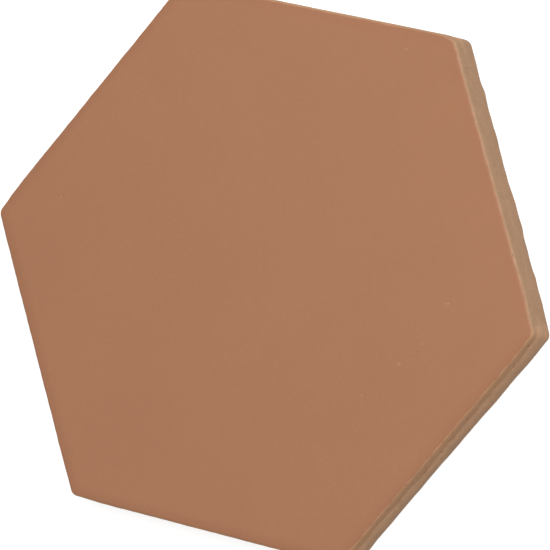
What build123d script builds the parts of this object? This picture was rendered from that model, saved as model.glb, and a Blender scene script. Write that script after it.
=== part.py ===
"""A dry-pressed hexagon tile of glazed stoneware, lying face up on its keyed back.

One fired piece. Millimetres, +Z up, origin at the middle of the back. Corners point along X and
flats along Y. The outline is a loft of rounded hexagons, one for each break in the edge's section.
"""

import math
import os

from build123d import *

# Outline
ACROSS_FLATS = 101.0  # over the joint lands, the widest part of the edge
THICKNESS = 8.35  # from the ribs of the back to the middle of the face
CORNER_RADIUS = 2.0  # of the six upright corners

# Section of the edge, from the face down
ROLL_WIDTH = 1.5  # how far in from the edge the face starts to fall
ROLL_DROP = 0.2  # how far the face falls by there
ARRIS_RADIUS = 0.65  # the rounded edge between the face and the wall
UPPER_WALL = 3.05  # from the face down to the ledge that the punch leaves
WALL_LEAN = 0.03  # how far the upper wall leans in
BULGE_RADIUS = 10.0  # of the bulging lower wall under the ledge
CROWN_SHARE = 0.54  # height of the bulge's upright joint land, as a share of the ledge's
BULGE_CHORDS = 7  # flats that make up the bulge if it ran as far below its crown as above
FOOT_RADIUS = 0.7  # the rounded edge between the foot and the back

# Keyed back
RIM_WIDTH = 6.0  # plain margin that closes the ends of the grooves
GROOVE_WIDTH = 4.5
GROOVE_PITCH = 8.0
GROOVE_DEPTH = 0.6
GROOVE_DRAFT = 25.0  # degrees from upright, lets the punch release

# A rounding takes at most this share of the face it runs along
ROUNDING_SHARE = 0.8


def hexagon(inset, height):
    """The tile's outline at one height, drawn in from the joint lands by inset."""
    with BuildSketch(Plane.XY.offset(height)) as ring:
        RegularPolygon(radius=ACROSS_FLATS / 2 - inset, side_count=6, major_radius=False)
        fillet(ring.vertices(), CORNER_RADIUS)
    return ring.sketch


def lower_wall():
    """Inset and height of each break from the back to the ledge, chords of one arc about the crown."""
    ledge_height = THICKNESS - UPPER_WALL
    crown_height = CROWN_SHARE * ledge_height
    ledge_turn = math.asin((ledge_height - crown_height) / BULGE_RADIUS)
    half_chord = ledge_turn / BULGE_CHORDS
    breaks = []
    for step in range(2 - BULGE_CHORDS, BULGE_CHORDS + 1, 2):
        turn = step * half_chord
        inset = BULGE_RADIUS * (math.cos(half_chord) - math.cos(turn))
        breaks.append((inset, crown_height + BULGE_RADIUS * math.sin(turn)))
    foot_inset, foot_height = breaks[0]
    foot_slope = math.tan((BULGE_CHORDS - 1) * half_chord)
    return [(foot_inset + foot_height * foot_slope, 0)] + breaks


def pressed_blank():
    """The solid between back and face, with every break in its edge still sharp."""
    sections = lower_wall()
    arris_inset = sections[-1][0] + WALL_LEAN
    sections.append((arris_inset, THICKNESS - ROLL_DROP))
    sections.append((arris_inset + ROLL_WIDTH, THICKNESS))
    return loft([hexagon(inset, height) for inset, height in sections], ruled=True)


def ring_at(solid, height):
    """The ring of edges that lies at one height."""
    return solid.edges().filter_by_position(Axis.Z, height, height)


def rounded(blank):
    """Rolls the face over into the edge and rounds the arris and the foot."""
    roll_angle = math.atan2(ROLL_DROP, ROLL_WIDTH)
    roll_reach = ROUNDING_SHARE * (ROLL_WIDTH - ARRIS_RADIUS)
    shape = fillet(ring_at(blank, THICKNESS), roll_reach / math.tan(roll_angle / 2))
    shape = fillet(ring_at(shape, THICKNESS - ROLL_DROP), ARRIS_RADIUS)
    return fillet(ring_at(shape, 0), FOOT_RADIUS)


def key_grooves():
    """Drafted grooves along the back, in pairs about a middle rib, stopped short by the rim."""
    reach = ACROSS_FLATS / 2 - RIM_WIDTH
    pairs = int((reach - GROOVE_WIDTH / 2) / GROOVE_PITCH + 0.5)
    with BuildSketch() as plan:
        for pair in range(pairs):
            across = (pair + 0.5) * GROOVE_PITCH
            outer_side = across + GROOVE_WIDTH / 2
            length = 2 * (reach * 2 - outer_side) / math.sqrt(3)
            with Locations((0, across), (0, -across)):
                SlotOverall(length, GROOVE_WIDTH)
    return extrude(plan.sketch, GROOVE_DEPTH, taper=GROOVE_DRAFT)


tile = rounded(pressed_blank()) - key_grooves()

os.makedirs("parts", exist_ok=True)
export_step(tile, "parts/hexagon_tile.step")
box = tile.bounding_box()
print(f"tile {box.size.X:.2f} x {box.size.Y:.2f} x {box.size.Z:.2f} mm, {tile.volume / 1000:.2f} cm3")
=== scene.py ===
"""The hexagon tile, lying face up on a pale floor under soft studio light."""

import math

import bpy
from mathutils import Matrix, Vector


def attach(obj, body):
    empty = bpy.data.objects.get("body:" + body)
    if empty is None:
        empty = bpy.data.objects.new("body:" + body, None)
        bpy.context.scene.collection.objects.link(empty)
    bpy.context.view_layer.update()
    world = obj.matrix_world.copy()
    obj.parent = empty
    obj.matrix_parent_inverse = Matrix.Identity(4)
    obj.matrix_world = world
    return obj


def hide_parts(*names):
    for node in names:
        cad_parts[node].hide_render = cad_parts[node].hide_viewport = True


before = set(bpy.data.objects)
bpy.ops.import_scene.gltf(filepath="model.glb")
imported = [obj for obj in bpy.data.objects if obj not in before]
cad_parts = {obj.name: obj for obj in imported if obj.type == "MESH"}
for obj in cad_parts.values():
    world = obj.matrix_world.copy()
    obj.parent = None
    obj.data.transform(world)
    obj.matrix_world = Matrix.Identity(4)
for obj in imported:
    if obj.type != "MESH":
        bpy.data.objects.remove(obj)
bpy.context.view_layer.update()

# The fired tile's form. One piece of pressed stoneware with a rolled face, a narrow arris, a set-back upper
# wall, the ledge that the punch leaves, a bulging land, a foot that draws in and a back keyed with grooves.
# Pressing, firing and handling leave the foot wavy, the arris and ledge uneven and the corners out of true.

MM = 0.001
ACROSS_FLATS = 101 * MM
THICKNESS = 8.35 * MM
LEDGE_HEIGHT = 5.3 * MM
FACE_MARGIN = 7 * MM
BACK_MARGIN = 3 * MM

# The edge's section from the face to the back: distance in from the widest line, height, rounding
EDGE_SECTION = [
    (FACE_MARGIN, THICKNESS, 0),
    (1.82 * MM, THICKNESS, 12 * MM),
    (0.33 * MM, 8.15 * MM, 0.65 * MM),
    (0.3 * MM, LEDGE_HEIGHT, 0.25 * MM),
    (-0.263 * MM, 3.05 * MM, 10 * MM),
    (0.39 * MM, 0, 0.7 * MM),
    (BACK_MARGIN, 0, 0),
]

TILE_SIZES = {
    "Across Flats": ACROSS_FLATS,
    "Corner Radius": 1.7 * MM,
    "Foot Corner Draw": 0.22 * MM,
    "Worn Corner": 1,
    "Worn Corner Draw": (0.27 * MM, -0.47 * MM, 0),
    "Thickness": THICKNESS,
    "Face Margin": FACE_MARGIN,
    "Back Margin": BACK_MARGIN,
    "Ring Spacing": 0.45 * MM,
    "Section Spacing": 0.3 * MM,
    "Flush Inset": 0.16 * MM,
    "Punch Shift": 0.13 * MM,
    "Flush Share": 0.8,
    "Foot Wave": 0.36 * MM,
    "Foot Wave Length": 9 * MM,
    "Flush Foot Wave": 0.6 * MM,
    "Flush Foot Wave Length": 4.5 * MM,
    "Arris Wander": 0.14 * MM,
    "Arris Wander Length": 2.5 * MM,
    "Ledge Wander": 1.6 * MM,
    "Ledge Wander Length": 3.5 * MM,
    "Groove Width": 4.5 * MM,
    "Groove Pitch": 8 * MM,
    "Groove Depth": 0.6 * MM,
    "Groove Reach": 44.5 * MM,
    "Grooves": 10,
    "Seed": 4.0,
}

# Firing leaves the hexagon a little out of true: how far each corner of the face and of the foot is moved
# along X and Y, in mm, from the right corner round
MOVED_CORNERS = {
    "Face": [(-0.32, -0.13), (0.09, 0.05), (0, 0), (0.19, -0.33), (0, 0.19), (0.24, -0.11)],
    "Foot": [(-0.05, -0.11), (0.31, 0), (0, 0), (0, 0), (0, 0), (0.1, 0)],
}
for end, moves in MOVED_CORNERS.items():
    for corner, (along_x, along_y) in enumerate(moves, start=1):
        TILE_SIZES[f"{end} Corner {corner}"] = (along_x * MM, along_y * MM, 0)

# The way that the side without a ledge faces
FLUSH_SIDE = (math.cos(math.pi / 6), math.sin(math.pi / 6), 0)

# Where each unevenness of the edge comes in or fades out
EDGE_FADE = (0.8 * MM, 2.4 * MM)  # distance in from the widest line
FOOT_FADE = (1.2 * MM, 4.4 * MM)  # height
ARRIS_RISE = (7.2 * MM, 8 * MM)  # height
FLUSH_WALL_RISE = (0.15 * MM, 0.9 * MM)  # height
FLUSH_WALL_FADE = (0, 0.6 * MM)  # height above the ledge
PUNCHED_RISE = (-0.2 * MM, 0.6 * MM)  # height above the ledge
UPPER_RISE = (-0.5 * MM, 0.5 * MM)  # height above the ledge
LEDGE_RISE = (-3.4 * MM, -0.4 * MM)  # height above the ledge
LEDGE_FADE = (0.2 * MM, 2.6 * MM)  # height above the ledge
DRAWN_FOOT_FADE = (-2.5 * MM, 0)  # height above the ledge
DRAWN_CORNER_RISE = (56.2 * MM, 58.1 * MM)  # reach from the tile's middle
MOVED_CORNER_RISE = (54.6 * MM, 58 * MM)  # reach from the tile's middle
WORN_CORNER_RISE = (56.9 * MM, 58.05 * MM)  # reach from the tile's middle
FLUSH_SIDE_RISE = (0.83, 0.9)  # cosine of the angle from the way that the flush side faces

# Shares of a groove's depth and width at its lip, the foot of its drafted wall, and its floor
GROOVE_STEPS = [(0.2, 0.95), (0.6, 0.89), (0.2, 0.82)]

# How finely the rounded places are divided, which points are one, and which edges stay sharp
CORNER_POINTS = 10
BREAK_POINTS = 8
GROOVE_END_POINTS = 32
SEAM_GAP = 0.001 * MM
SHARP_ANGLE = math.radians(32)


def put(tree, kind, inputs=None, **settings):
    """Adds one node, makes its settings, and sets or links its inputs."""
    node = tree.nodes.new(kind)
    for name, value in settings.items():
        setattr(node, name, value)
    for name, value in (inputs or {}).items():
        if isinstance(value, bpy.types.NodeSocket):
            tree.links.new(value, node.inputs[name])
        else:
            node.inputs[name].default_value = value
    return node


def calc(tree, operation, *values):
    """One step of arithmetic on numbers or sockets."""
    return put(tree, "ShaderNodeMath", dict(enumerate(values)), operation=operation).outputs[0]


def times(tree, *values):
    """The product of two or more numbers or sockets."""
    product = values[0]
    for value in values[1:]:
        product = calc(tree, "MULTIPLY", product, value)
    return product


def rise(tree, value, low, high):
    """0 below low, 1 above high, smooth between."""
    inputs = {"Value": value, "From Min": low, "From Max": high}
    return put(tree, "ShaderNodeMapRange", inputs, interpolation_type="SMOOTHSTEP").outputs["Result"]


def fall(tree, value, low, high):
    """1 below low, 0 above high, smooth between."""
    return calc(tree, "SUBTRACT", 1, rise(tree, value, low, high))


def wander(tree, place, seed, length, detail=2.0):
    """Smooth noise about 0, mostly within a half of it, in waves of about one length."""
    inputs = {"Vector": place, "W": seed, "Scale": calc(tree, "DIVIDE", 1, length), "Detail": detail}
    noise = put(tree, "ShaderNodeTexNoise", inputs, noise_dimensions="4D")
    return calc(tree, "MULTIPLY_ADD", noise.outputs[0], 2, -1)


def vector_of(tree, x, y, z):
    """A vector from its three numbers or sockets."""
    return put(tree, "ShaderNodeCombineXYZ", {0: x, 1: y, 2: z}).outputs[0]


def parts_of(tree, vector):
    """The X, Y and Z of a vector."""
    return put(tree, "ShaderNodeSeparateXYZ", {0: vector}).outputs


def vector_calc(tree, operation, *values):
    """One step of arithmetic on vectors that gives a vector."""
    return put(tree, "ShaderNodeVectorMath", dict(enumerate(values)), operation=operation).outputs["Vector"]


def measure(tree, operation, *values):
    """One step of arithmetic on vectors that gives a number."""
    return put(tree, "ShaderNodeVectorMath", dict(enumerate(values)), operation=operation).outputs["Value"]


def scaled(tree, vector, factor):
    """A vector made longer or shorter."""
    inputs = {0: vector, "Scale": factor}
    return put(tree, "ShaderNodeVectorMath", inputs, operation="SCALE").outputs["Vector"]


def kept(tree, shape, name, value, kind="FLOAT_VECTOR"):
    """The shape, with a value kept under a name at each of its points."""
    inputs = {"Geometry": shape, "Name": name, "Value": value}
    return put(tree, "GeometryNodeStoreNamedAttribute", inputs, data_type=kind).outputs[0]


def recalled(tree, name, kind="FLOAT_VECTOR"):
    """What was kept under a name at each point."""
    return put(tree, "GeometryNodeInputNamedAttribute", {"Name": name}, data_type=kind).outputs[0]


def joined(tree, *shapes):
    """Several shapes as one."""
    join = put(tree, "GeometryNodeJoinGeometry")
    for shape in shapes:
        tree.links.new(shape, join.inputs[0])
    return join.outputs[0]


def filled(tree, outlines):
    """Closed outlines filled with flat faces that face up."""
    return put(tree, "GeometryNodeFillCurve", {"Curve": outlines}, mode="NGONS").outputs[0]


def new_shape_tree(name, inputs, output):
    """An empty geometry tree with named inputs, and its input and output ends."""
    tree = bpy.data.node_groups.new(name, "GeometryNodeTree")
    for label, kind in inputs:
        tree.interface.new_socket(label, in_out="INPUT", socket_type=kind)
    tree.interface.new_socket(output, in_out="OUTPUT", socket_type="NodeSocketGeometry")
    return tree, tree.nodes.new("NodeGroupInput").outputs, tree.nodes.new("NodeGroupOutput").inputs


def run_splitter():
    """A tree that divides the straight runs of a line and leaves its rounded corners as they are."""
    inputs = [("Line", "NodeSocketGeometry"), ("Spacing", "NodeSocketFloat")]
    tree, given, result = new_shape_tree("split straight runs", inputs, "Line")
    place = put(tree, "GeometryNodeInputPosition").outputs[0]
    index = put(tree, "GeometryNodeInputIndex").outputs[0]
    after = put(tree, "GeometryNodeOffsetPointInCurve", {"Point Index": index, "Offset": 1})
    inputs = {"Value": place, "Index": after.outputs["Point Index"]}
    next_place = put(tree, "GeometryNodeFieldAtIndex", inputs, data_type="FLOAT_VECTOR").outputs[0]
    run = measure(tree, "DISTANCE", place, next_place)
    cuts = calc(tree, "FLOOR", calc(tree, "DIVIDE", run, given["Spacing"]))
    line = put(tree, "GeometryNodeSubdivideCurve", {"Curve": given["Line"], "Cuts": cuts})
    tree.links.new(line.outputs[0], result["Line"])
    return tree


def at_corner(tree, index, number):
    """1 at the ring's corner of that number, 0 at the others."""
    return calc(tree, "COMPARE", index, number, 0.5)


def hexagon_ring(tree, given, split):
    """The hexagon that the section goes round, its corners rounded and their moves kept on it."""
    corner_reach = calc(tree, "DIVIDE", times(tree, given["Across Flats"], 0.5), math.cos(math.pi / 6))
    inputs = {"Resolution": 6, "Radius": corner_reach}
    ring = put(tree, "GeometryNodeCurvePrimitiveCircle", inputs).outputs["Curve"]
    index = put(tree, "GeometryNodeInputIndex").outputs[0]
    for end, moves in MOVED_CORNERS.items():
        move = (0, 0, 0)
        for number in range(len(moves)):
            own_move = given[f"{end} Corner {number + 1}"]
            move = vector_calc(tree, "MULTIPLY_ADD", at_corner(tree, index, number), own_move, move)
        ring = kept(tree, ring, f"{end} move", move)
    ring = kept(tree, ring, "worn", at_corner(tree, index, given["Worn Corner"]), "FLOAT")
    inputs = {"Curve": ring, "Count": CORNER_POINTS, "Radius": given["Corner Radius"]}
    ring = put(tree, "GeometryNodeFilletCurve", inputs, mode="POLY").outputs[0]
    inputs = {"Line": ring, "Spacing": given["Ring Spacing"]}
    ring = put(tree, "GeometryNodeGroup", inputs, node_tree=split).outputs[0]
    return kept(tree, ring, "ring", put(tree, "GeometryNodeInputPosition").outputs[0])


def edge_line(tree, given, split):
    """The edge's section as a line, with each of its breaks rounded."""
    line = put(tree, "GeometryNodeMeshToCurve", {"Mesh": given["Section"]}).outputs[0]
    inputs = {"Curve": line, "Count": BREAK_POINTS, "Limit Radius": True}
    inputs["Radius"] = recalled(tree, "rounding", "FLOAT")
    line = put(tree, "GeometryNodeFilletCurve", inputs, mode="POLY").outputs[0]
    inputs = {"Line": line, "Spacing": given["Section Spacing"]}
    line = put(tree, "GeometryNodeGroup", inputs, node_tree=split).outputs[0]
    return kept(tree, line, "section", put(tree, "GeometryNodeInputPosition").outputs[0])


def laid(tree, given, shape, inset, height):
    """The shape with its points moved to the ring drawn in by inset, at one height."""
    ring_x, ring_y, _ = parts_of(tree, recalled(tree, "ring"))
    half_flats = times(tree, given["Across Flats"], 0.5)
    shrink = calc(tree, "SUBTRACT", 1, calc(tree, "DIVIDE", inset, half_flats))
    place = vector_of(tree, times(tree, ring_x, shrink), times(tree, ring_y, shrink), height)
    return put(tree, "GeometryNodeSetPosition", {"Geometry": shape, "Position": place}).outputs[0]


def uneven_edge(tree, given, edge):
    """The swept edge as pressing, firing and handling leave it, true where it meets face and back."""
    on_ring = recalled(tree, "ring")
    ring_x, ring_y, _ = parts_of(tree, on_ring)
    inset, _, height = parts_of(tree, recalled(tree, "section"))
    spot = vector_of(tree, ring_x, ring_y, height)
    above_ledge = calc(tree, "SUBTRACT", height, LEDGE_HEIGHT)
    reach = measure(tree, "LENGTH", on_ring)
    facing = measure(tree, "DOT_PRODUCT", vector_calc(tree, "NORMALIZE", on_ring), FLUSH_SIDE)
    flush_side = rise(tree, facing, *FLUSH_SIDE_RISE)
    near_edge = fall(tree, inset, *EDGE_FADE)
    near_foot = times(tree, near_edge, fall(tree, height, *FOOT_FADE))
    near_ledge = times(tree, rise(tree, above_ledge, *LEDGE_RISE), fall(tree, above_ledge, *LEDGE_FADE))
    upper = rise(tree, above_ledge, *UPPER_RISE)

    # The foot waves, most of all along the flush side, and the arris and the ledge wander
    shares = {
        "Foot Wave": near_foot,
        "Flush Foot Wave": times(tree, near_foot, flush_side),
        "Arris Wander": times(tree, near_edge, rise(tree, height, *ARRIS_RISE)),
        "Ledge Wander": near_ledge,
    }
    shift = {}
    for name, share in shares.items():
        wave = wander(tree, spot, given["Seed"], given[f"{name} Length"])
        shift[name] = times(tree, wave, given[name], share)
    for name in ("Foot Wave", "Flush Foot Wave", "Arris Wander"):
        inset = calc(tree, "ADD", inset, shift[name])
    height_now = calc(tree, "ADD", height, shift["Ledge Wander"])

    # The corners draw in a little more at the foot
    drawn = times(tree, rise(tree, reach, *DRAWN_CORNER_RISE), near_edge)
    drawn = times(tree, drawn, fall(tree, above_ledge, *DRAWN_FOOT_FADE))
    inset = calc(tree, "MULTIPLY_ADD", drawn, given["Foot Corner Draw"], inset)

    # The punch sat a little askew, so along one side the wall is nearly flush from arris to foot
    flush = times(tree, flush_side, given["Flush Share"], rise(tree, height, *FLUSH_WALL_RISE))
    flush = times(tree, flush, fall(tree, above_ledge, *FLUSH_WALL_FADE))
    change = times(tree, flush, calc(tree, "SUBTRACT", given["Flush Inset"], inset))
    inset = calc(tree, "ADD", inset, change)
    punched = times(tree, near_edge, rise(tree, above_ledge, *PUNCHED_RISE))
    punched = times(tree, punched, times(tree, flush_side, given["Punch Shift"]))
    inset = calc(tree, "MAXIMUM", calc(tree, "SUBTRACT", inset, punched), 0)

    # Each corner is moved by its own amount at the face and at the foot
    inputs = {"Factor": upper, 4: recalled(tree, "Foot move"), 5: recalled(tree, "Face move")}
    move = put(tree, "ShaderNodeMix", inputs, data_type="VECTOR").outputs[1]
    move = scaled(tree, move, times(tree, rise(tree, reach, *MOVED_CORNER_RISE), near_edge))

    # One corner of the face is worn round, more along one of its sides than along the other
    worn = times(tree, recalled(tree, "worn", "FLOAT"), times(tree, upper, near_edge))
    worn = times(tree, worn, rise(tree, reach, *WORN_CORNER_RISE))
    move = vector_calc(tree, "MULTIPLY_ADD", worn, given["Worn Corner Draw"], move)

    edge = laid(tree, given, edge, inset, height_now)
    return put(tree, "GeometryNodeSetPosition", {"Geometry": edge, "Offset": move}).outputs[0]


def flat_face(tree, given, ring):
    """The true middle of the face, inside the edge."""
    face = filled(tree, laid(tree, given, ring, given["Face Margin"], 0))
    inputs = {"Geometry": face, "Offset": vector_of(tree, 0, 0, given["Thickness"])}
    face = put(tree, "GeometryNodeSetPosition", inputs).outputs[0]
    return kept(tree, face, "section", vector_of(tree, given["Face Margin"], 0, given["Thickness"]))


def keyed_back(tree, given, ring):
    """The back inside the edge, with its grooves: a round dish for each, drawn out until it meets the rim."""
    place_x, place_y, _ = parts_of(tree, put(tree, "GeometryNodeInputPosition").outputs[0])
    groove_radius = times(tree, given["Groove Width"], 0.5)

    # A point in the middle of each groove, that keeps how far across the back it lies
    count_before = times(tree, calc(tree, "SUBTRACT", given["Grooves"], 1), -0.5)
    first = vector_of(tree, 0, times(tree, count_before, given["Groove Pitch"]), 0)
    step = vector_of(tree, 0, given["Groove Pitch"], 0)
    inputs = {"Count": given["Grooves"], "Start Location": first, "Offset": step}
    middles = kept(tree, put(tree, "GeometryNodeMeshLine", inputs).outputs[0], "groove", place_y, "FLOAT")

    # The dish, pressed in by steps from its lip to its floor
    inputs = {"Resolution": GROOVE_END_POINTS, "Radius": groove_radius}
    circle = put(tree, "GeometryNodeCurvePrimitiveCircle", inputs).outputs["Curve"]
    inputs = {"Geometry": circle, "Rotation": (0, 0, math.pi / GROOVE_END_POINTS)}
    circle = put(tree, "GeometryNodeTransform", inputs).outputs[0]
    dish = filled(tree, circle)
    dish_floor = True
    width_before = 1
    for depth_share, width_share in GROOVE_STEPS:
        inputs = {"Mesh": dish, "Selection": dish_floor, "Individual": False}
        inputs["Offset Scale"] = times(tree, given["Groove Depth"], depth_share)
        step_in = put(tree, "GeometryNodeExtrudeMesh", inputs, mode="FACES")
        dish_floor = step_in.outputs["Top"]
        inputs = {"Geometry": step_in.outputs["Mesh"], "Selection": dish_floor}
        inputs["Scale"] = width_share / width_before
        dish = put(tree, "GeometryNodeScaleElements", inputs, domain="FACE").outputs[0]
        width_before = width_share

    def drawn_out(shape):
        """One copy of the shape for each groove, its two halves moved apart to the groove's length."""
        inputs = {"Points": middles, "Instance": shape}
        copies = put(tree, "GeometryNodeInstanceOnPoints", inputs).outputs[0]
        copies = put(tree, "GeometryNodeRealizeInstances", {"Geometry": copies}).outputs[0]
        middle = calc(tree, "ABSOLUTE", recalled(tree, "groove", "FLOAT"))
        outer_side = calc(tree, "ADD", middle, groove_radius)
        to_rim = calc(tree, "SUBTRACT", times(tree, given["Groove Reach"], 2), outer_side)
        half_run = calc(tree, "SUBTRACT", calc(tree, "DIVIDE", to_rim, math.sqrt(3)), groove_radius)
        apart = vector_of(tree, times(tree, calc(tree, "SIGN", place_x), half_run), 0, 0)
        return put(tree, "GeometryNodeSetPosition", {"Geometry": copies, "Offset": apart}).outputs[0]

    # A filled outline faces up, so the back and its grooves are turned to face down
    rim = laid(tree, given, ring, given["Back Margin"], 0)
    back = filled(tree, joined(tree, drawn_out(circle), rim))
    underside = joined(tree, back, drawn_out(dish))
    return put(tree, "GeometryNodeFlipFaces", {"Mesh": underside}).outputs[0]


def tile_tree():
    """The tree that sweeps the edge's section round the hexagon and closes it with face and back."""
    inputs = [("Section", "NodeSocketGeometry"), ("Finish", "NodeSocketMaterial")]
    kinds = {int: "NodeSocketInt", float: "NodeSocketFloat", tuple: "NodeSocketVector"}
    for name, size in TILE_SIZES.items():
        inputs.append((name, kinds[type(size)]))
    tree, given, result = new_shape_tree("pressed tile", inputs, "Tile")
    split = run_splitter()
    ring = hexagon_ring(tree, given, split)
    line = edge_line(tree, given, split)
    edge = put(tree, "GeometryNodeCurveToMesh", {"Curve": ring, "Profile Curve": line}).outputs[0]
    edge = uneven_edge(tree, given, edge)
    whole = joined(tree, edge, flat_face(tree, given, ring), keyed_back(tree, given, ring))
    whole = put(tree, "GeometryNodeMergeByDistance", {"Geometry": whole, "Distance": SEAM_GAP}).outputs[0]
    whole = put(tree, "GeometryNodeSetShadeSmooth", {"Geometry": whole, "Shade Smooth": True}).outputs[0]
    angle = put(tree, "GeometryNodeInputMeshEdgeAngle").outputs["Unsigned Angle"]
    sharp = calc(tree, "GREATER_THAN", angle, SHARP_ANGLE)
    inputs = {"Geometry": whole, "Selection": sharp, "Shade Smooth": False}
    whole = put(tree, "GeometryNodeSetShadeSmooth", inputs, domain="EDGE").outputs[0]
    whole = put(tree, "GeometryNodeRealizeInstances", {"Geometry": whole}).outputs[0]
    inputs = {"Geometry": whole, "Material": given["Finish"]}
    whole = put(tree, "GeometryNodeSetMaterial", inputs).outputs[0]
    tree.links.new(whole, result["Tile"])
    return tree


def fired_tile(finish):
    """The tile as a plain mesh, made by the tree from the section's line."""
    mesh = bpy.data.meshes.new("edge section")
    points = [(inset, 0, height) for inset, height, rounding in EDGE_SECTION]
    mesh.from_pydata(points, [(n, n + 1) for n in range(len(points) - 1)], [])
    roundings = mesh.attributes.new("rounding", "FLOAT", "POINT")
    roundings.data.foreach_set("value", [rounding for inset, height, rounding in EDGE_SECTION])
    section = bpy.data.objects.new("edge section", mesh)
    bpy.context.scene.collection.objects.link(section)
    tree = tile_tree()
    sweep = section.modifiers.new("pressed tile", "NODES")
    sweep.node_group = tree
    values = {**TILE_SIZES, "Finish": finish}
    for socket in tree.interface.items_tree:
        if socket.in_out == "INPUT" and socket.name in values:
            sweep[socket.identifier] = values[socket.name]
    evaluated = section.evaluated_get(bpy.context.evaluated_depsgraph_get())
    tile_mesh = bpy.data.meshes.new_from_object(evaluated)
    tile_mesh.name = "glazed_tile"
    tile_mesh.materials.clear()
    tile_mesh.materials.append(finish)
    bpy.data.objects.remove(section)
    tile = bpy.data.objects.new("glazed_tile", tile_mesh)
    bpy.context.scene.collection.objects.link(tile)
    return tile


# The tile's finish. A matt terracotta glaze lies over the face, with painted shade round the rim; it is
# pitted here and there, and ends in an uneven line along the arris. The walls and the back are the bare fired
# body, paler and grainy, with painted shade above the ledge, and painted highlights on the bulge below it,
# along the top of the wall and at one corner. The flush side has neither the painted shade nor the bulge's
# highlight.

GLAZE_COLOUR = (0.385, 0.1735, 0.0895, 1)
# Painted shade: the darker glaze colour that the rim is blended to
PAINTED_RIM_SHADE_COLOUR = (0.371, 0.162, 0.0825, 1)
PIT_COLOUR = (0.58, 0.42, 0.30, 1)
BODY_COLOUR = (0.495, 0.294, 0.173, 1)
DARK_GRAIN_COLOUR = (0.30, 0.155, 0.085, 1)
PALE_GRAIN_COLOUR = (0.66, 0.48, 0.34, 1)
# Painted shade: the wall above the ledge made darker and redder
LEDGE_SHADE_COLOUR = (0.487, 0.258, 0.135, 1)

# The few pits where the glaze blistered as it was fired: X and Y on the face, and radius, in mm
PITS = [
    (32.7, -11, 0.38), (26.6, -18.3, 0.28), (39.2, 1.8, 0.28), (39.8, 1.9, 0.3), (36.6, -6.4, 0.24),
    (20.4, 46.3, 0.31), (-44.7, 5.2, 0.27),
]

# How much of each shows: a share of its colour, or of the colour under it that it lightens or darkens
PINPRICK_SHARE = 0.35
PIT_SHARE = 0.27
CLOUD_TINT = 0.03
GLAZE_GRAIN_TINT = 0.06
GRAIN_SHARE = 0.5
BODY_GRAIN_TINT = 0.2
MOTTLE_TINT = 0.16
FOOT_MOTTLE_TINT = 0.16  # more of it at the foot
THIN_LEDGE_SHADE_SHARE = 0.35
# Painted highlight on the bulge below the ledge
BULGE_HIGHLIGHT_TINT = 0.14
# Painted highlight along the top of the wall
TOP_HIGHLIGHT_TINT = 0.03
LEDGED_TOP_HIGHLIGHT_TINT = 0.07  # more of it on the sides with a ledge
# Painted highlight at the corner on +X
CORNER_HIGHLIGHT_TINT = 0.06
FLUSH_CORNER_TINT = 0.06  # more of it on the flush side
# Painted shade in the nicks along the ledge
NICK_SHADE_TINT = -0.4

# How patchy the painted ledge shade and bulge highlight are: how far they vary with the mottle, and about
# what
PATCH_SPREAD, PATCH_MIDDLE = 0.6, 0.95

# The least size of a grain or nick as a share of its given radius, and the share of it at full strength
SMALLEST_DOT = 0.4
DOT_CORE = 0.4
PIT_CORE = 0.3
SECOND_DOTS = (31, 17, 11)  # how far the pale grains, pits and nicks lie from the dark grains' cells

# Roughness, how far the grain changes it, and the relief of each unevenness in mm
SPECULAR_LEVEL = 0.3
GLAZE_ROUGHNESS, GLAZE_ROUGHNESS_SPREAD = 0.5, 0.12
BODY_ROUGHNESS, BODY_ROUGHNESS_SPREAD = 0.85, 0.15
PEEL_RELIEF, GLAZE_GRAIN_RELIEF, PIT_RELIEF = 0.006, 0.002, -0.05
DRAG_RELIEF, BODY_GRAIN_RELIEF, NICK_RELIEF = 0.012, 0.03, -0.12
DRAG_STRETCH = (1, 1, 0.08)  # draws the drag lines out along the height

# Where each change in the finish comes in or fades out, in mm
RIM_SHADE_FADE = (0.7, 3)  # distance in from the widest line
RIM_SHADE_WANDER = 0.5
GLAZE_LINE = (0.37, 0.69)  # distance in, where the glaze starts and where it is whole
FLUSH_LINE_SHIFT = (-0.03, 0.17)  # how far both lie from there on the flush side
GLAZE_LINE_WANDER = 0.2
GLAZED_RISE = (7, 7.5)  # height
STAINED_FOOT_FADE = (0.4, 2.4)  # height
THIN_LEDGE_SHADE_RISE = (-3, -0.4)  # height above the ledge
WHOLE_LEDGE_SHADE_RISE = (-0.1, 0.3)  # height above the ledge
BULGE_HIGHLIGHT_RISE, BULGE_HIGHLIGHT_FADE = (-2.8, -0.8), (-0.2, 0.1)  # height above the ledge
NICKED_RISE, NICKED_FADE = (-0.6, -0.1), (0.6, 1.4)  # height above the ledge
TOP_HIGHLIGHT_RISE = (0.5, 2.4)  # height above the ledge
CORNER_HIGHLIGHT_RISE = (56.4, 57.4)  # X
FLUSH_FINISH_RISE = (0.85, 0.88)  # cosine of the angle from the way that the flush side faces


def blend(tree, share, first, second):
    """The first colour at 0, the second at 1."""
    mix = put(tree, "ShaderNodeMix", {0: share, 6: first, 7: second}, data_type="RGBA")
    return mix.outputs[2]


def lit(tree, colour, mask, tint):
    """A colour made lighter or darker, where the mask says, by a small share of itself."""
    return scaled(tree, colour, calc(tree, "ADD", times(tree, mask, tint), 1))


def on_flush_side(tree, spot):
    """1 on the flush side, 0 on the other five."""
    outward = vector_calc(tree, "NORMALIZE", vector_calc(tree, "MULTIPLY", spot, (1, 1, 0)))
    return rise(tree, measure(tree, "DOT_PRODUCT", outward, FLUSH_SIDE), *FLUSH_FINISH_RISE)


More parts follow.
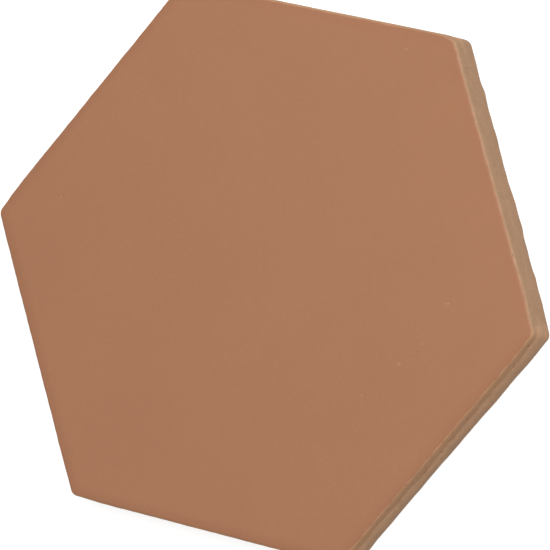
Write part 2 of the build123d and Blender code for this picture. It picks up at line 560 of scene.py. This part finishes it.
def dots(tree, spot, dimensions, spacing, radius, kept_share):
    """Round spots of mixed size, one to a cell of the spacing, in a share of the cells."""
    inputs = {"Vector": spot, "Scale": 1 / spacing}
    cell = put(tree, "ShaderNodeTexVoronoi", inputs, voronoi_dimensions=dimensions).outputs
    chance, size, _ = put(tree, "ShaderNodeSeparateColor", {0: cell["Color"]}).outputs
    reach = times(tree, calc(tree, "ADD", size, SMALLEST_DOT), radius / spacing)
    mask = fall(tree, calc(tree, "DIVIDE", cell["Distance"], reach), DOT_CORE, 1)
    return times(tree, mask, calc(tree, "LESS_THAN", chance, kept_share))


def in_pits(tree, spot):
    """1 in the middle of each pit of the glaze, 0 away from them all."""
    inside = 0
    for x, y, radius in PITS:
        away = measure(tree, "DISTANCE", spot, (x, y, THICKNESS / MM))
        inside = calc(tree, "MAXIMUM", inside, fall(tree, away, PIT_CORE * radius, radius))
    return inside


def glaze_look(tree, spot, inset):
    """Colour, roughness and relief of the glaze: faint clouds, painted shade at the rim, a fine grain, orange
    peel and pits.
    """
    cloud = wander(tree, spot, seed=3.0, length=16)
    grain = wander(tree, spot, seed=5.0, length=0.6, detail=3.0)
    peel = wander(tree, spot, seed=7.0, length=1.8)
    pinpricks = dots(tree, spot, "2D", spacing=5.5, radius=0.13, kept_share=0.4)
    holes = calc(tree, "MAXIMUM", in_pits(tree, spot), times(tree, pinpricks, PINPRICK_SHARE))
    # Painted shade: the glaze darkens towards the rim
    rim = fall(tree, calc(tree, "MULTIPLY_ADD", cloud, RIM_SHADE_WANDER, inset), *RIM_SHADE_FADE)
    colour = blend(tree, rim, GLAZE_COLOUR, PAINTED_RIM_SHADE_COLOUR)
    colour = lit(tree, colour, cloud, CLOUD_TINT)
    colour = lit(tree, colour, grain, GLAZE_GRAIN_TINT)
    colour = blend(tree, times(tree, holes, PIT_SHARE), colour, PIT_COLOUR)
    roughness = calc(tree, "MULTIPLY_ADD", grain, GLAZE_ROUGHNESS_SPREAD, GLAZE_ROUGHNESS)
    relief = times(tree, peel, PEEL_RELIEF)
    relief = calc(tree, "MULTIPLY_ADD", grain, GLAZE_GRAIN_RELIEF, relief)
    relief = calc(tree, "MULTIPLY_ADD", holes, PIT_RELIEF, relief)
    return colour, roughness, relief


def body_look(tree, spot, height):
    """Colour, roughness and relief of the bare body: mottled, dark and pale grains, open pits, painted light
    and shade.
    """
    shifted = vector_calc(tree, "ADD", spot, SECOND_DOTS)
    mottle = wander(tree, spot, seed=13.0, length=3.2, detail=4.0)
    grain = wander(tree, spot, seed=17.0, length=0.45, detail=3.0)
    dark = dots(tree, spot, "3D", spacing=0.9, radius=0.16, kept_share=0.35)
    pale = dots(tree, shifted, "3D", spacing=1.1, radius=0.17, kept_share=0.3)
    pits = dots(tree, shifted, "3D", spacing=2.6, radius=0.3, kept_share=0.5)
    nicks = dots(tree, shifted, "3D", spacing=1.7, radius=0.45, kept_share=0.85)
    above_ledge = calc(tree, "SUBTRACT", height, LEDGE_HEIGHT / MM)
    flush = on_flush_side(tree, spot)
    ledged = calc(tree, "SUBTRACT", 1, flush)
    patchy = calc(tree, "MULTIPLY_ADD", mottle, PATCH_SPREAD, PATCH_MIDDLE)

    # Painted shade above the ledge that thins below it, a painted highlight on the bulge, and the ledge's
    # nicks
    ledge_shade = times(tree, rise(tree, above_ledge, *THIN_LEDGE_SHADE_RISE), THIN_LEDGE_SHADE_SHARE)
    ledge_shade = calc(tree, "MAXIMUM", ledge_shade, rise(tree, above_ledge, *WHOLE_LEDGE_SHADE_RISE))
    ledge_shade = times(tree, ledge_shade, ledged, patchy)
    painted_highlight = times(tree, rise(tree, above_ledge, *BULGE_HIGHLIGHT_RISE), fall(tree, above_ledge, *BULGE_HIGHLIGHT_FADE))
    painted_highlight = times(tree, painted_highlight, ledged, patchy)
    in_ledge = times(tree, rise(tree, above_ledge, *NICKED_RISE), fall(tree, above_ledge, *NICKED_FADE))
    nicks = times(tree, nicks, ledged, in_ledge)

    # Painted highlights along the top of the wall and at the corner on +X, and a foot that is mottled more
    top_highlight = rise(tree, above_ledge, *TOP_HIGHLIGHT_RISE)
    top_highlight_tint = calc(tree, "MULTIPLY_ADD", ledged, LEDGED_TOP_HIGHLIGHT_TINT, TOP_HIGHLIGHT_TINT)
    painted_highlight_corner = rise(tree, parts_of(tree, spot)["X"], *CORNER_HIGHLIGHT_RISE)
    corner_tint = calc(tree, "MULTIPLY_ADD", flush, FLUSH_CORNER_TINT, CORNER_HIGHLIGHT_TINT)
    at_foot = fall(tree, height, *STAINED_FOOT_FADE)
    mottle_tint = calc(tree, "MULTIPLY_ADD", at_foot, FOOT_MOTTLE_TINT, MOTTLE_TINT)

    # Painted shade above the ledge
    colour = blend(tree, ledge_shade, BODY_COLOUR, LEDGE_SHADE_COLOUR)
    colour = lit(tree, colour, mottle, mottle_tint)
    colour = lit(tree, colour, grain, BODY_GRAIN_TINT)
    # Painted highlight on the bulge below the ledge
    colour = lit(tree, colour, painted_highlight, BULGE_HIGHLIGHT_TINT)
    # Painted highlight along the top of the wall
    colour = lit(tree, colour, top_highlight, top_highlight_tint)
    # Painted highlight at the corner on +X
    colour = lit(tree, colour, painted_highlight_corner, corner_tint)
    # Painted shade darkens the nicks; their hollows are in the relief below
    colour = lit(tree, colour, nicks, NICK_SHADE_TINT)
    colour = blend(tree, times(tree, dark, GRAIN_SHARE), colour, DARK_GRAIN_COLOUR)
    colour = blend(tree, times(tree, pale, GRAIN_SHARE), colour, PALE_GRAIN_COLOUR)
    roughness = calc(tree, "MULTIPLY_ADD", grain, BODY_ROUGHNESS_SPREAD, BODY_ROUGHNESS)

    # The die drags fine upright lines down the wall
    stretched = vector_calc(tree, "MULTIPLY", spot, DRAG_STRETCH)
    relief = times(tree, wander(tree, stretched, seed=23.0, length=0.7), DRAG_RELIEF)
    relief = calc(tree, "MULTIPLY_ADD", grain, BODY_GRAIN_RELIEF, relief)
    relief = calc(tree, "MULTIPLY_ADD", calc(tree, "MAXIMUM", pits, nicks), NICK_RELIEF, relief)
    return colour, roughness, relief


def tile_finish():
    """The material of the whole tile: glaze on the face, bare body beyond the glaze line."""
    finish = bpy.data.materials.new("glazed stoneware")
    finish.use_nodes = True
    tree = finish.node_tree
    shader = tree.nodes["Principled BSDF"]
    shader.inputs["Specular IOR Level"].default_value = SPECULAR_LEVEL
    spot = scaled(tree, put(tree, "ShaderNodeTexCoord").outputs["Object"], 1 / MM)

    # The finish follows the uneven edge, so it goes by each spot's place on the section as drawn
    drawn_at = put(tree, "ShaderNodeAttribute", attribute_name="section").outputs["Vector"]
    inset, _, height = parts_of(tree, scaled(tree, drawn_at, 1 / MM))
    glaze_colour, glaze_roughness, glaze_relief = glaze_look(tree, spot, inset)
    body_colour, body_roughness, body_relief = body_look(tree, spot, height)

    # The glaze stops at an uneven line along the top of the arris, where it has drawn back from the edge
    line = calc(tree, "MULTIPLY_ADD", wander(tree, spot, seed=11.0, length=2.2), GLAZE_LINE_WANDER, inset)
    flush = on_flush_side(tree, spot)
    no_glaze, full_glaze = [
        calc(tree, "MULTIPLY_ADD", flush, shift, inset_there)
        for shift, inset_there in zip(FLUSH_LINE_SHIFT, GLAZE_LINE)
    ]
    cover = times(tree, rise(tree, line, no_glaze, full_glaze), rise(tree, height, *GLAZED_RISE))
    bare = calc(tree, "SUBTRACT", 1, cover)
    roughness = calc(tree, "MULTIPLY_ADD", cover, glaze_roughness, times(tree, bare, body_roughness))
    relief = calc(tree, "MULTIPLY_ADD", cover, glaze_relief, times(tree, bare, body_relief))
    bump = put(tree, "ShaderNodeBump", {"Height": relief, "Distance": MM})
    tree.links.new(blend(tree, cover, body_colour, glaze_colour), shader.inputs["Base Color"])
    tree.links.new(roughness, shader.inputs["Roughness"])
    tree.links.new(bump.outputs[0], shader.inputs["Normal"])
    return finish


tile = fired_tile(tile_finish())
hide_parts("hexagon_tile")
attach(tile, "root")

# The floor. A plain white studio sheet, far larger than the view, that lies just under the tile's back and
# keeps its soft shadow.

FLOOR_HALF = 1.5
FLOOR_DROP = 0.1 * MM
SHEET_COLOUR = (0.5, 0.5, 0.5, 1)
SHEET_GLOW = 0.78
WHITE = (1, 1, 1, 1)

floor_corners = [(-1, -1), (1, -1), (1, 1), (-1, 1)]
floor_places = [(x * FLOOR_HALF, y * FLOOR_HALF, -FLOOR_DROP) for x, y in floor_corners]
floor_mesh = bpy.data.meshes.new("floor")
floor_mesh.from_pydata(floor_places, [], [(0, 1, 2, 3)])
floor = bpy.data.objects.new("floor", floor_mesh)
bpy.context.scene.collection.objects.link(floor)


def seen_directly(tree):
    """1 on rays from the camera and in mirrors or glass, 0 on rays that only carry light."""
    path = put(tree, "ShaderNodeLightPath").outputs
    seen = calc(tree, "MAXIMUM", path["Is Camera Ray"], path["Is Glossy Ray"])
    return calc(tree, "MAXIMUM", seen, path["Is Transmission Ray"])


sheet = bpy.data.materials.new("white sheet")
sheet.use_nodes = True
sheet_shader = sheet.node_tree.nodes["Principled BSDF"]
sheet_shader.inputs["Base Color"].default_value = SHEET_COLOUR
sheet_shader.inputs["Roughness"].default_value = 1
sheet_shader.inputs["Specular IOR Level"].default_value = 0
sheet_shader.inputs["Emission Color"].default_value = WHITE
glow = times(sheet.node_tree, seen_directly(sheet.node_tree), SHEET_GLOW)
sheet.node_tree.links.new(glow, sheet_shader.inputs["Emission Strength"])
floor_mesh.materials.append(sheet)

# The light. A broad soft lamp high over the flush side, a weaker one to its left, and an even white room
# around them that shows as pure white.

ROOM_LEVEL = 0.45
LAMP_SIZE = 0.45
LAMP_DISTANCE = 0.75

world = bpy.data.worlds.new("studio")
bpy.context.scene.world = world
world.use_nodes = True
room = world.node_tree.nodes["Background"]
room.inputs["Color"].default_value = WHITE
room_seen = seen_directly(world.node_tree)
room_light = calc(world.node_tree, "MULTIPLY_ADD", room_seen, 1 - ROOM_LEVEL, ROOM_LEVEL)
world.node_tree.links.new(room_light, room.inputs["Strength"])


def looking_at(target, azimuth, elevation, distance):
    """The place and turn of what looks at a target from a direction given in degrees."""
    turn, tilt = math.radians(azimuth), math.radians(elevation)
    way = Vector((math.cos(turn) * math.cos(tilt), math.sin(turn) * math.cos(tilt), math.sin(tilt)))
    return Matrix.Translation(target + way * distance) @ way.to_track_quat("Z", "Y").to_matrix().to_4x4()


def hang_lamp(name, azimuth, elevation, energy):
    """A round soft lamp that faces the tile."""
    light = bpy.data.lights.new(name, "AREA")
    light.shape = "DISK"
    light.size = LAMP_SIZE
    light.energy = energy
    lamp = bpy.data.objects.new(name, light)
    lamp.matrix_world = looking_at(Vector(), azimuth, elevation, LAMP_DISTANCE)
    bpy.context.scene.collection.objects.link(lamp)


hang_lamp("key", azimuth=38, elevation=60, energy=3.13)
hang_lamp("fill", azimuth=100, elevation=45, energy=0.72)

# The camera. A long lens that looks down on the face, turned on its own axis so that the tile leans across
# the frame.

AIM = Vector((3.649 * MM, -0.225 * MM, THICKNESS))
CAMERA_ROLL = math.radians(-81.2147)

camera_data = bpy.data.cameras.new("camera")
camera_data.sensor_width = 36
camera_data.lens = 312.316
camera_data.clip_start = 0.05
camera = bpy.data.objects.new("camera", camera_data)
level_view = looking_at(AIM, azimuth=3.8528, elevation=63.5338, distance=895.69 * MM)
camera.matrix_world = level_view @ Matrix.Rotation(CAMERA_ROLL, 4, "Z")
bpy.context.scene.collection.objects.link(camera)
bpy.context.scene.camera = camera
bpy.context.scene.view_settings.view_transform = "Standard"
